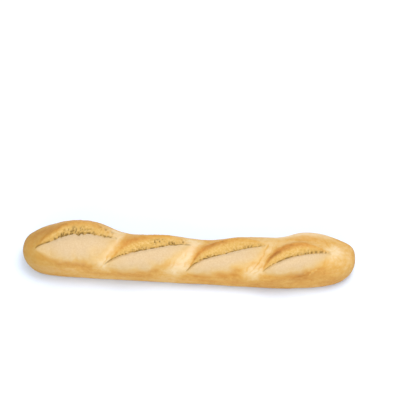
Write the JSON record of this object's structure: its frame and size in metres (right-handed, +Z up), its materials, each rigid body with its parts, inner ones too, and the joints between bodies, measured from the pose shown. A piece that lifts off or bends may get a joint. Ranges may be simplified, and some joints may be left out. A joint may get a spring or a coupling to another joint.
{
  "type": "baguette",
  "caption": "Short white baguette with rounded ends and a diagonally slashed, puffed top whose cuts have torn open into raised ears; it rests on its flat baked underside.",
  "frame": {"origin": "middle of the loaf's length and width, on the flat underside it was baked on", "axes": "+X along the loaf, from the left end to the right end seen from the front; +Y to the back, the side the slashes' ears fold towards; +Z up"},
  "size_m": [0.3, 0.0546, 0.0445],
  "materials": {
    "crust": "matte"
  },
  "bodies": {
    "root": {"baguette": "crust"}
  },
  "joints": []
}
